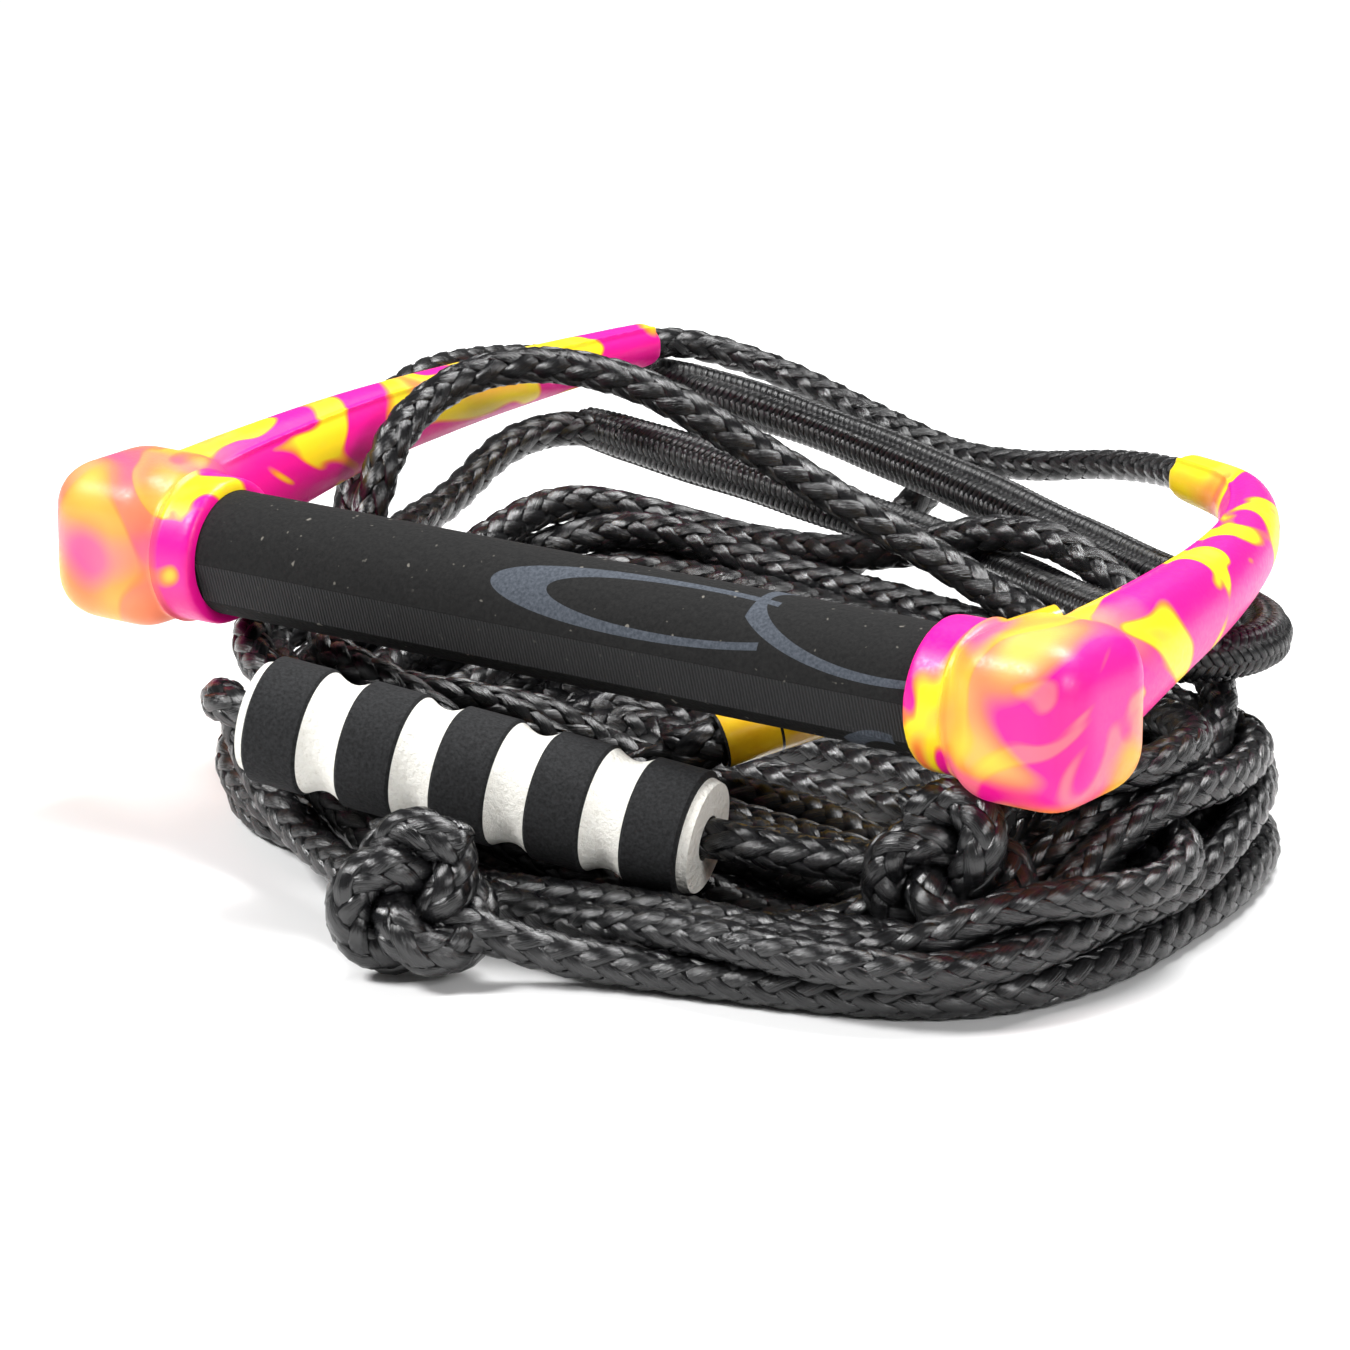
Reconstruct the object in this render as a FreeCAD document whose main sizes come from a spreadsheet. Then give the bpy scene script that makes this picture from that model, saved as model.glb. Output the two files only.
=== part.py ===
# Tow rope handle: a foam grip bar with two soft arms, its bridle, an elastic
# shock section, a float on the line and the rest of the line coiled under it.
# Millimetres. +X runs along the bar from the left cap to the right cap,
# +Y points away from the user, +Z is up, the coil rests on z = 0.
import FreeCAD, Part
import math
import os

os.makedirs("parts", exist_ok=True)
doc = FreeCAD.newDocument("tow_rope_handle")
V = FreeCAD.Vector

# ---------------------------------------------------------------- dimensions
SHEET = [
    ("barx", 0.0, "bar centre, x"),
    ("bary", -68.15, "bar centre, y"),
    ("barz", 62.0, "height of the bar's axis"),
    ("barlength", 254.0, "aluminium tube, end to end"),
    ("tuberadius", 9.5, "aluminium tube, outside"),
    ("tubebore", 7.9, "aluminium tube, inside"),
    ("pluglength", 20.0, "end plug"),
    ("gripradius", 14.5, "foam grip, outside"),
    ("griplength", 209.0, "foam grip, end to end"),
    ("gripflat", 13.6, "distance of the ribbed flat from the axis"),
    ("capinner", 97.0, "lip of the cap, distance from the middle"),
    ("capouter", 142.0, "outer end of the cap"),
    ("capblock", 104.0, "inner face of the cap's block"),
    ("caphalf", 18.6, "half height of the cap's block"),
    ("capround", 12.0, "rounding of the cap's block"),
    ("liprad", 16.6, "radius of the cap's lip"),
    ("bridleradius", 4.0, "bridle rope"),
    ("bridlebore", 4.3, "bore of the arm"),
    ("lineradius", 4.75, "main line"),
    ("shockradius", 6.1, "shock section, outside"),
    ("shockcore", 4.2, "elastic core"),
    ("floatbore", 5.1, "bore of the float"),
    ("floatcore", 12.2, "waist of the float's core"),
    ("floatring", 14.4, "foam rings of the float"),
    ("floatlength", 108.0, "float, end to end"),
    ("floatringwidth", 13.2, "one foam ring"),
    ("knotradius", 16.0, "stopper knots"),
    ("spliceradius", 6.0, "spliced line under the label"),
    ("labelradius", 6.5, "label sleeve, outside"),
    ("coilleft", -112.0, "coil, left side, from the bar's middle"),
    ("coilright", 134.0, "coil, right side"),
    ("coilnear", -48.0, "coil, near side"),
    ("coilfar", 156.0, "coil, far side"),
    ("coilband", 54.0, "width of the coil's band of line"),
    ("coilheight", 34.0, "coil, height at the back"),
    ("coilfront", 8.2, "coil, height at the front"),
]
sheet = doc.addObject("Spreadsheet::Sheet", "Dimensions")
for row, (alias, value, words) in enumerate(SHEET, start=1):
    sheet.set("A%d" % row, words)
    sheet.set("B%d" % row, str(value))
    sheet.setAlias("B%d" % row, alias)
doc.recompute()
D = {alias: float(sheet.get(alias)) for alias, _, _ in SHEET}
O = V(D["barx"], D["bary"], 0)          # routes are given from the bar's middle
BAR = V(D["barx"], D["bary"], D["barz"])

# ---------------------------------------------------------------- routes
# Points of each stretch of rope, from the bar's middle (x, y) and the floor (z).
ARM_LEFT = [(-122, 4, 62.5), (-123, 35, 67), (-123, 75, 70.5), (-122, 115, 71.5), (-121, 155, 71), (-119, 195, 70)]
ARM_RIGHT = [(122, 4, 62.5), (122, 40, 67), (114, 84, 68.5), (101, 122, 68.5), (82, 152, 68.5), (61, 163, 69)]
BRIDLE = [(-119, 195, 70), (-117, 206, 69), (-108, 215, 65.5), (-88, 219, 60.5), (-52, 213, 53), (-33, 211, 49.5), (-8, 204, 52), (16, 197, 58), (40, 182, 64), (61, 163, 69)]
SHOCK = [(-124, 204, 59), (-101, 203, 58), (-58, 197, 54), (-1, 178, 50), (38, 161, 48), (72, 144, 47.5), (94, 133, 48.5), (109, 120, 49.5), (116, 104, 50), (110, 88.5, 50), (95, 84, 50), (84, 93, 49.5), (82, 108, 47.5), (68, 122, 43.5), (45, 136, 42), (18, 150, 41.5), (-23, 167, 42), (-57, 174, 44), (-93, 181, 46), (-133, 187, 48)]
TOP_LOOP = [(-104, 40, 44), (-101, 53, 62), (-102, 64, 73), (-103, 80, 80.5), (-98, 94, 86), (-84, 106, 88), (-63, 114, 84), (-48, 118, 77), (-31, 127, 66), (-12, 130, 57), (6, 135, 48), (32, 132, 40), (48, 121, 39.5)]
FLOAT_A, FLOAT_DIR = (49.0, -18.5, 25.0), (0.9590, 0.2413, -0.1490)
KNOT_ONE, KNOT_TWO = (8.0, -70.0, 16.3), (107.0, -7.0, 26.2)
LABEL_LINE = [(6, 27, 24), (14, 36, 27), (38, 66, 36), (66.2, 103.6, 46.4)]


def at(p):
    return V(*p) + O


def unit(v):
    v = V(v)
    return v.multiply(1.0 / v.Length)


def expr(obj, **bound):
    for prop, text in bound.items():
        obj.setExpression(prop.replace("__", "."), text)


def route_wire(name, points):
    """Straight runs joined by tangent arcs; prints its length and tightest bend."""
    pts = [V(*p) for p in points]
    edges, here, tightest = [], pts[0], 1e9
    for i in range(1, len(pts) - 1):
        a, b, c = pts[i - 1], pts[i], pts[i + 1]
        u, w = unit(a - b), unit(c - b)
        turn = math.pi - u.getAngle(w)
        if turn < 1e-3:
            continue
        reach = 0.45 * min((a - b).Length, (c - b).Length)
        radius = reach / math.tan(turn / 2)
        tightest = min(tightest, radius)
        t1, t2 = b + u * reach, b + w * reach
        mid = unit(u + w)
        centre = b + mid * (radius / math.cos(turn / 2))
        if (t1 - here).Length > 1e-6:
            edges.append(Part.makeLine(here, t1))
        edges.append(Part.Arc(t1, centre + unit(b - centre) * radius, t2).toShape())
        here = t2
    edges.append(Part.makeLine(here, pts[-1]))
    feature = doc.addObject("Part::Feature", name)
    feature.Shape = Part.Wire(edges)
    print("%-16s %6.1f mm long, tightest bend %.1f mm" % (name, feature.Shape.Length, tightest))
    return feature


def across(name, point, direction, radius_alias):
    """A circle square to direction at point, its radius bound to the sheet."""
    ring = doc.addObject("Part::Circle", name)
    expr(ring, Radius="Dimensions." + radius_alias)
    ring.Placement = FreeCAD.Placement(point, FreeCAD.Rotation(V(0, 0, 1), direction))
    return ring


def swept(name, wire, radius_alias):
    edges = wire.Shape.OrderedEdges
    first = edges[0]
    start = first.valueAt(first.FirstParameter)
    tangent = first.tangentAt(first.FirstParameter)
    ring = across(name + "_section", start, tangent, radius_alias)
    sweep = doc.addObject("Part::Sweep", name)
    sweep.Sections = [ring]
    sweep.Spine = (wire, ["Edge%d" % (i + 1) for i in range(len(wire.Shape.Edges))])
    sweep.Solid = True
    sweep.Frenet = False
    return sweep


def cylinder(name, radius, length, placement):
    made = doc.addObject("Part::Cylinder", name)
    expr(made, Radius=radius, Height=length)
    made.Placement = placement
    return made


def cut(name, base, tool):
    made = doc.addObject("Part::Cut", name)
    made.Base, made.Tool = base, tool
    return made


def fuse(name, shapes):
    made = doc.addObject("Part::MultiFuse", name)
    made.Shapes = shapes
    return made


ALONG_X = FreeCAD.Rotation(V(0, 0, 1), V(1, 0, 0))


def plane_of(body, role):
    return [f for f in body.Origin.OriginFeatures if f.Role == role][0]


def sketch_in(body, name, role, offset=None):
    sk = body.newObject("Sketcher::SketchObject", name)
    sk.AttachmentSupport = [(plane_of(body, role), "")]
    sk.MapMode = "FlatFace"
    if offset is not None:
        sk.AttachmentOffset = offset
    return sk


def closed(sk, points):
    n = len(points)
    for i in range(n):
        (a, b), (c, d) = points[i], points[(i + 1) % n]
        sk.addGeometry(Part.LineSegment(V(a, b, 0), V(c, d, 0)), False)


exports = []                            # (node, object)


def keep(node, obj):
    exports.append((node, obj))
    return obj


# ---------------------------------------------------------------- the bar
def bar_body(name):
    body = doc.addObject("PartDesign::Body", name)
    body.Placement = FreeCAD.Placement(BAR, FreeCAD.Rotation())
    return body


# Aluminium tube: an annulus padded both ways along the bar.
tube = bar_body("bar_tube")
sk = sketch_in(tube, "tube_section", "YZ_Plane")
sk.addGeometry(Part.Circle(V(0, 0, 0), V(0, 0, 1), D["tuberadius"]), False)
sk.addGeometry(Part.Circle(V(0, 0, 0), V(0, 0, 1), D["tubebore"]), False)
import Sketcher
for g, alias in ((0, "tuberadius"), (1, "tubebore")):
    sk.addConstraint(Sketcher.Constraint("Coincident", g, 3, -1, 1))
    c = sk.addConstraint(Sketcher.Constraint("Radius", g, D[alias]))
    sk.setExpression("Constraints[%d]" % c, "Dimensions." + alias)
pad = tube.newObject("PartDesign::Pad", "tube_pad")
pad.Profile = sk
pad.Midplane = True
expr(pad, Length="Dimensions.barlength")
keep("bar_tube", tube)

# Sealing plugs pressed into the tube's ends.
for side, sign in (("left", -1), ("right", 1)):
    body = bar_body("end_plug_" + side)
    sk = sketch_in(body, "plug_section_" + side, "YZ_Plane",
                   FreeCAD.Placement(V(0, 0, sign * D["barlength"] / 2), FreeCAD.Rotation()))
    sk.addGeometry(Part.Circle(V(0, 0, 0), V(0, 0, 1), D["tubebore"]), False)
    sk.addConstraint(Sketcher.Constraint("Coincident", 0, 3, -1, 1))
    c = sk.addConstraint(Sketcher.Constraint("Radius", 0, D["tubebore"]))
    sk.setExpression("Constraints[%d]" % c, "Dimensions.tubebore")
    pad = body.newObject("PartDesign::Pad", "plug_pad_" + side)
    pad.Profile = sk
    pad.Reversed = sign > 0
    expr(pad, Length="Dimensions.pluglength")
    doc.recompute()
    chamfer = body.newObject("PartDesign::Chamfer", "plug_chamfer_" + side)
    faces = pad.Shape.Edges
    inner = [i for i, e in enumerate(faces) if abs(abs(e.BoundBox.Center.x - BAR.x)) < D["barlength"] / 2 - 1
             and e.BoundBox.XLength < 0.01] or [0]
    chamfer.Base = (pad, ["Edge%d" % (inner[0] + 1)])
    chamfer.Size = 0.8
    keep("end_plug_" + side, body)

# Foam grip: a sleeve with one ribbed flat facing the user.
grip = bar_body("grip_sleeve")
sk = sketch_in(grip, "grip_section", "YZ_Plane")
R, flat = D["gripradius"], D["gripflat"]
half = math.degrees(math.acos(flat / R))
mid_angle = 198.0                       # the flat's normal, seen along +X
a0, a1 = math.radians(mid_angle + half), math.radians(mid_angle - half + 360)
sk.addGeometry(Part.ArcOfCircle(Part.Circle(V(0, 0, 0), V(0, 0, 1), R), a0, a1), False)
p0 = V(R * math.cos(a0), R * math.sin(a0), 0)
p1 = V(R * math.cos(a1), R * math.sin(a1), 0)
sk.addGeometry(Part.LineSegment(p1, p0), False)
sk.addGeometry(Part.Circle(V(0, 0, 0), V(0, 0, 1), D["tuberadius"]), False)
sk.addConstraint(Sketcher.Constraint("Coincident", 0, 3, -1, 1))
sk.addConstraint(Sketcher.Constraint("Coincident", 0, 2, 1, 1))
sk.addConstraint(Sketcher.Constraint("Coincident", 1, 2, 0, 1))
sk.addConstraint(Sketcher.Constraint("Coincident", 2, 3, -1, 1))
c = sk.addConstraint(Sketcher.Constraint("Radius", 0, R))
sk.setExpression("Constraints[%d]" % c, "Dimensions.gripradius")
c = sk.addConstraint(Sketcher.Constraint("Radius", 2, D["tuberadius"]))
sk.setExpression("Constraints[%d]" % c, "Dimensions.tuberadius")
pad = grip.newObject("PartDesign::Pad", "grip_pad")
pad.Profile = sk
pad.Midplane = True
expr(pad, Length="Dimensions.griplength")
keep("grip_sleeve", grip)


# ---------------------------------------------------------------- end caps
def spine_of(points):
    curve = Part.BSplineCurve()
    curve.interpolate([at(p) for p in points])
    return curve


ARM_SIZES = [(11.5, 15.5), (10.2, 12.6), (8.8, 10.0), (7.6, 8.2), (6.6, 6.9), (5.7, 5.7)]
BORE_FROM = 0.22                        # the bore stops short of the block

for side, sign, points in (("left", -1, ARM_LEFT), ("right", 1, ARM_RIGHT)):
    curve = spine_of(points)
    first, last = curve.FirstParameter, curve.LastParameter
    # The block that holds the bar's end, all its edges rounded.
    block = doc.addObject("Part::Box", "cap_block_" + side)
    expr(block, Length="Dimensions.capouter - Dimensions.capblock",
         Width="2 * Dimensions.caphalf", Height="2 * Dimensions.caphalf")
    x0 = D["capblock"] if sign > 0 else -D["capouter"]
    block.Placement = FreeCAD.Placement(BAR + V(x0, -D["caphalf"], -D["caphalf"]), FreeCAD.Rotation())
    doc.recompute()
    rounded = doc.addObject("Part::Fillet", "cap_rounded_" + side)
    rounded.Base = block
    rounded.Edges = [(i + 1, D["capround"], D["capround"]) for i in range(12)]
    lip = doc.addObject("Part::Cone", "cap_lip_" + side)
    expr(lip, Radius1="Dimensions.liprad", Radius2="Dimensions.liprad + 1.4",
         Height="Dimensions.capblock - Dimensions.capinner + 10")
    lip.Placement = FreeCAD.Placement(BAR + V(sign * D["capinner"], 0, 0),
                                      FreeCAD.Rotation(V(0, 0, 1), V(sign, 0, 0)))
    # The arm: ellipses square to its spine, lofted.
    rings = []
    for i, (rx, rz) in enumerate(ARM_SIZES):
        # sections sit at the spine's own points
        u = curve.parameter(at(points[i]))
        p, t = curve.value(u), unit(curve.tangent(u)[0])
        side_dir = unit(t.cross(V(0, 0, 1)))
        up_dir = unit(side_dir.cross(t))
        ring = doc.addObject("Part::Ellipse", "arm_%s_%d" % (side, i))
        ring.MajorRadius, ring.MinorRadius = max(rx, rz), min(rx, rz)
        ring.Placement = FreeCAD.Placement(p, FreeCAD.Rotation(up_dir, side_dir.negative(), t, "ZXY"))
        rings.append(ring)
    arm = doc.addObject("Part::Loft", "arm_" + side)
    arm.Sections = rings
    arm.Solid = True
    arm.Ruled = False
    whole = fuse("cap_whole_" + side, [rounded, lip, arm])
    # Socket for the tube, recess for the grip's end, bore for the bridle.
    socket = cylinder("cap_socket_" + side, "Dimensions.tuberadius", "Dimensions.barlength / 2 - Dimensions.capinner + 1",
                      FreeCAD.Placement(BAR + V(sign * (D["capinner"] - 1), 0, 0), FreeCAD.Rotation(V(0, 0, 1), V(sign, 0, 0))))
    recess = cylinder("cap_recess_" + side, "Dimensions.gripradius", "Dimensions.griplength / 2 - Dimensions.capinner + 1",
                      FreeCAD.Placement(BAR + V(sign * (D["capinner"] - 1), 0, 0), FreeCAD.Rotation(V(0, 0, 1), V(sign, 0, 0))))
    uu = [first + (last - first) * (BORE_FROM + (1 - BORE_FROM) * k / 12.0) for k in range(13)]
    bore_pts = [curve.value(u) for u in uu]
    end_dir = unit(curve.tangent(last)[0])
    bore_curve = Part.BSplineCurve()
    bore_curve.interpolate(bore_pts + [bore_pts[-1] + end_dir * 3.0])
    bore_path = doc.addObject("Part::Feature", "bore_path_" + side)
    bore_path.Shape = Part.Wire([bore_curve.toShape()])
    bore = swept("bore_" + side, bore_path, "bridlebore")
    tools = fuse("cap_tools_" + side, [socket, recess, bore])
    cap = cut("end_cap_" + side, whole, tools)
    keep("end_cap_" + side, cap)
    # The bridle's tail inside the arm.
    tail_curve = Part.BSplineCurve()
    tail_curve.interpolate(bore_pts)
    tail_path = doc.addObject("Part::Feature", "bridle_tail_path_" + side)
    tail_path.Shape = Part.Wire([tail_curve.toShape()])
    keep("bridle_tail_" + side, swept("bridle_tail_" + side, tail_path, "bridleradius"))

# ---------------------------------------------------------------- ropes
bridle = swept("bridle", route_wire("bridle_route", [tuple(at(p)) for p in BRIDLE]), "bridleradius")
keep("bridle_rope", bridle)

shock_wire = route_wire("shock_route", [tuple(at(p)) for p in SHOCK])
shock_outer = swept("shock_outer", shock_wire, "shockradius")
shock_core = swept("shock_core_tube", shock_wire, "shockcore")
shock_hole = swept("shock_hole", shock_wire, "shockcore")
keep("shock_sheath", cut("shock_sheath", shock_outer, shock_hole))
keep("shock_core", shock_core)

keep("top_loop", swept("top_loop_tube", route_wire("top_loop_route", [tuple(at(p)) for p in TOP_LOOP]), "lineradius"))

# Line through the float, from stopper knot to stopper knot.
fd = unit(V(*FLOAT_DIR))
fa = V(*FLOAT_A)
fb = fa - fd * D["floatlength"]
one, two = V(*KNOT_ONE), V(*KNOT_TWO)
FLOAT_LINE = [two, fa + fd * 26, fa - fd * 52, fb - fd * 9, V(-73, -36, 40.5), V(-78, -24, 35),
              V(-75, -24, 24), V(-56, -35, 15), V(-27, -51, 12), one]
line = route_wire("float_route", [tuple(p + O) for p in FLOAT_LINE])
float_tube = swept("float_tube", line, "lineradius")

knots = []
for name, centre in (("one", one), ("two", two)):
    ball = doc.addObject("Part::Sphere", "knot_ball_" + name)
    expr(ball, Radius="Dimensions.knotradius")
    ball.Placement = FreeCAD.Placement(centre + O, FreeCAD.Rotation())
    knots.append(ball)
    keep("knot_" + name, ball)
keep("float_line", cut("float_line", float_tube, fuse("knot_pair", knots)))

# The line's spliced end, across the coil's middle, with the label around it.
label_wire = route_wire("splice_route", [tuple(at(p)) for p in LABEL_LINE])
keep("loop_splice", swept("loop_splice", label_wire, "spliceradius"))
label_part = route_wire("label_route", [tuple(at(p)) for p in (LABEL_LINE[1], LABEL_LINE[2], (65, 102, 45.96))])
keep("label_sleeve", cut("label_sleeve", swept("label_outer", label_part, "labelradius"),
                         swept("label_inner", label_part, "spliceradius")))

# ---------------------------------------------------------------- the float
fplace = FreeCAD.Placement(fb + O, FreeCAD.Rotation(V(0, 0, 1), fd))


def turned(name, points):
    """A revolved profile about the float's axis: points are (radius, along)."""
    body = doc.addObject("PartDesign::Body", name)
    body.Placement = fplace
    sk = sketch_in(body, name + "_profile", "XZ_Plane")
    closed(sk, points)
    rev = body.newObject("PartDesign::Revolution", name + "_turn")
    rev.Profile = sk
    rev.ReferenceAxis = (sk, ["V_Axis"])
    rev.Angle = 360
    return body


L, W = D["floatlength"], D["floatringwidth"]
rb, rc, rr = D["floatbore"], D["floatcore"], D["floatring"]
inset = 2.2                             # white end faces stand proud of the rings
pitch = (L - 2 * inset - W) / 4.0
profile = [(rb, 0), (rr - 2.0, 0), (rr - 1.4, inset)]
for i in range(5):
    z = inset + pitch * i
    profile += [(rc - 2.4, z), (rc - 2.4, z + W)] if i not in (0, 4) else (
        [(rc - 2.4, z), (rc - 2.4, z + W)])
    if i < 4:
        gap = pitch - W
        for k, lift in ((0.0, 1.6), (0.18, 0.7), (0.36, 0.12), (0.5, 0.0), (0.64, 0.12), (0.82, 0.7), (1.0, 1.6)):
            profile.append((rc + lift, z + W + gap * k))
profile += [(rr - 1.4, L - inset), (rr - 2.0, L), (rb, L)]
core = turned("float_core", profile)
keep("float_core", core)
for i in range(5):
    z = inset + pitch * i
    keep("float_ring_%d" % (i + 1), turned("float_ring_%d" % (i + 1), [
        (rc - 2.4, z), (rr - 0.7, z), (rr, z + 0.7), (rr, z + W - 0.7), (rr - 0.7, z + W), (rc - 2.4, z + W)]))

# ---------------------------------------------------------------- the coil
def rounded(sk, left, right, near, far, radii):
    """A rectangle with its own radius at each corner, near right first, anticlockwise."""
    nr, fr, fl, nl = radii
    corners = [(right - nr, near + nr, nr, 270), (right - fr, far - fr, fr, 0),
               (left + fl, far - fl, fl, 90), (left + nl, near + nl, nl, 180)]
    ends = []
    for x, y, r, start in corners:
        a, b = math.radians(start), math.radians(start + 90)
        sk.addGeometry(Part.ArcOfCircle(Part.Circle(V(x, y, 0), V(0, 0, 1), r), a, b), False)
        ends.append((V(x + r * math.cos(a), y + r * math.sin(a), 0), V(x + r * math.cos(b), y + r * math.sin(b), 0)))
    for i in range(4):
        sk.addGeometry(Part.LineSegment(ends[i][1], ends[(i + 1) % 4][0]), False)


coil = doc.addObject("PartDesign::Body", "coil_body")
coil.Placement = FreeCAD.Placement(O, FreeCAD.Rotation())
sk = sketch_in(coil, "coil_plan", "XY_Plane")
band = D["coilband"]
rounded(sk, D["coilleft"], D["coilright"], D["coilnear"], D["coilfar"], (60, 110, 54, 100))
rounded(sk, D["coilleft"] + band, D["coilright"] - band, D["coilnear"] + band, D["coilfar"] - band, (20, 45, 12, 46))
pad = coil.newObject("PartDesign::Pad", "coil_pad")
pad.Profile = sk
expr(pad, Length="Dimensions.coilheight")
doc.recompute()
full = pad.Shape.Volume
# Its front lies one strand high: the wedge above that is cut away.
sk2 = sketch_in(coil, "coil_slope", "YZ_Plane")
h0, h1 = D["coilfront"], D["coilheight"]
closed(sk2, [(-80, h0), (4, h0), (58, h1 + 1), (58, h1 + 30), (-80, h1 + 30)])
slope = coil.newObject("PartDesign::Pocket", "coil_pocket")
slope.Profile = sk2
slope.Midplane = True
slope.Type = 0
slope.Length = 400
doc.recompute()
assert slope.Shape.Volume < full - 1e5, "the coil's slope was not cut"
keep("line_coil", coil)

# ---------------------------------------------------------------- check, export
doc.recompute()
for obj in doc.Objects:
    bad = [s for s in obj.State if s in ("Invalid", "Error")]
    if bad:
        raise RuntimeError("%s: %s" % (obj.Name, bad))
box = None
for node, obj in exports:
    shape = obj.Shape
    if shape.isNull() or not shape.isValid() or len(shape.Solids) != 1:
        raise RuntimeError("%s: null %s, valid %s, solids %d" % (
            node, shape.isNull(), shape.isNull() or shape.isValid(), len(shape.Solids)))
    b = shape.BoundBox
    box = FreeCAD.BoundBox(b) if box is None else box.united(b)
    obj.Label = node if obj.Label != node else obj.Label
    shape.exportStep("parts/%s.step" % node)
    print("%-16s %9.0f mm3  x %6.1f..%6.1f  y %6.1f..%6.1f  z %5.1f..%5.1f" % (
        node, shape.Volume, b.XMin, b.XMax, b.YMin, b.YMax, b.ZMin, b.ZMax))
print("whole: x %.1f..%.1f  y %.1f..%.1f  z %.1f..%.1f  centre %.2f %.2f" % (
    box.XMin, box.XMax, box.YMin, box.YMax, box.ZMin, box.ZMax,
    (box.XMin + box.XMax) / 2, (box.YMin + box.YMax) / 2))
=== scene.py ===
"""Tow rope handle: the looks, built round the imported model. Metres throughout.

+X runs along the bar, +Y away from the user, +Z up; the coil lies on z = 0.
"""
import math

import bmesh
import bpy
import numpy as np
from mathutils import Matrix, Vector


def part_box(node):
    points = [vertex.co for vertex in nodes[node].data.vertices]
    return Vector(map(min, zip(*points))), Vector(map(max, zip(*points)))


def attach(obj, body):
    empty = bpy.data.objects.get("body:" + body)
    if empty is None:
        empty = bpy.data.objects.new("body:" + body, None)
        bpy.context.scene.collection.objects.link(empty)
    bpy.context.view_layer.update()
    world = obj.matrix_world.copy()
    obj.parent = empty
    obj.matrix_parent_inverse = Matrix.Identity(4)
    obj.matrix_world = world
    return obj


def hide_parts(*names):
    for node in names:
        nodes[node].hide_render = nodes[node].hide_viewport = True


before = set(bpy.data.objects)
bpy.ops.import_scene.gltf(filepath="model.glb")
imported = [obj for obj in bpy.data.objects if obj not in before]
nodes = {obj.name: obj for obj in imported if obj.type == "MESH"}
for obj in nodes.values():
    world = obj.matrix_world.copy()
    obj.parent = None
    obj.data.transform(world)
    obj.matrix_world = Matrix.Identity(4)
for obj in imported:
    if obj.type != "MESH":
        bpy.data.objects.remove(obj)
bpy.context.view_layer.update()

HANDLE = "handle_and_line"

# ------------------------------------------------------------------ camera
low, high = (np.array(p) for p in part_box("bar_tube"))
BAR = Vector((low + high) / 2)                     # middle of the bar
BELOW_BAR = Vector((BAR.x, BAR.y, 0))              # routes count from here

AZIMUTH, ELEVATION = math.radians(36.1), math.radians(16.1)
DISTANCE = 1.361                                   # from the bar's middle
FOCAL = 6123 / 1350                                # focal length over the view's width
BAR_ACROSS, BAR_DOWN = .42585, .4583               # the bar's middle in the view, as shares of it
toward = Vector((math.sin(AZIMUTH) * math.cos(ELEVATION), -math.cos(AZIMUTH) * math.cos(ELEVATION),
                 math.sin(ELEVATION)))
right = Vector((math.cos(AZIMUTH), math.sin(AZIMUTH), 0))
up = toward.cross(right)
aim = (-toward + right * ((.5 - BAR_ACROSS) / FOCAL) - up * ((.5 - BAR_DOWN) / FOCAL)).normalized()
camera = bpy.data.objects.new("camera", bpy.data.cameras.new("camera"))
bpy.context.collection.objects.link(camera)
camera.data.lens = camera.data.sensor_width * FOCAL
camera.data.clip_end = 20
camera.location = BAR + toward * DISTANCE
camera.rotation_euler = aim.to_track_quat("-Z", "Y").to_euler()
bpy.context.scene.camera = camera

# ------------------------------------------------------------------ the ropes' ways
LINE, BRIDLE_LINE, SHOCK_LINE, SPLICE_LINE = .0095, .008, .0122, .0118   # diameters

BRIDLE = [(-.119, .195, .070), (-.117, .206, .069), (-.108, .215, .0655),
          (-.088, .219, .0605), (-.052, .213, .053), (-.033, .211, .0495),
          (-.008, .204, .052), (.016, .197, .058), (.040, .182, .064),
          (.061, .163, .069)]
BRIDLE_LEAD = [(-.033, .211, .0495), (-.039, .203, .040), (-.050, .193, .026),
               (-.062, .180, .014), (-.080, .168, .0075), (-.100, .158, .0060),
               (-.115, .143, .0060), (-.118, .122, .0060)]
SHOCK = [(-.124, .204, .059), (-.101, .203, .058), (-.058, .197, .054),
         (-.001, .178, .050), (.038, .161, .048), (.072, .144, .0475),
         (.094, .133, .0485), (.109, .120, .0495), (.116, .104, .050),
         (.110, .0885, .050), (.095, .084, .050), (.084, .093, .0495),
         (.082, .108, .0475), (.068, .122, .0435), (.045, .136, .042),
         (.018, .150, .0415), (-.023, .167, .042), (-.057, .174, .044),
         (-.093, .181, .046), (-.133, .187, .048)]
SHOCK_LEAD = [(-.110, .2035, .0585), (-.124, .204, .059), (-.134, .196, .061),
              (-.1395, .178, .066), (-.1395, .150, .071), (-.1375, .124, .0735),
              (-.1345, .102, .069), (-.129, .086, .056), (-.122, .072, .042),
              (-.112, .058, .034)]
TOP_LOOP = [(-.104, .040, .044), (-.101, .053, .062), (-.102, .064, .073),
            (-.103, .080, .0805), (-.098, .094, .086), (-.084, .106, .088),
            (-.063, .114, .084), (-.048, .118, .077), (-.031, .127, .066),
            (-.012, .130, .057), (.006, .135, .048), (.032, .132, .040),
            (.048, .121, .0395)]
FLOAT_A = Vector((.049, -.0185, .025))             # the float's near end
FLOAT_DIR = Vector((.9590, .2413, -.1490)).normalized()
FLOAT_LONG, FLOAT_RADIUS = .108, .0148
FLOAT_B = FLOAT_A - FLOAT_DIR * FLOAT_LONG
KNOT_ONE, KNOT_TWO = Vector((.008, -.070, .0163)), Vector((.107, -.007, .0262))
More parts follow.
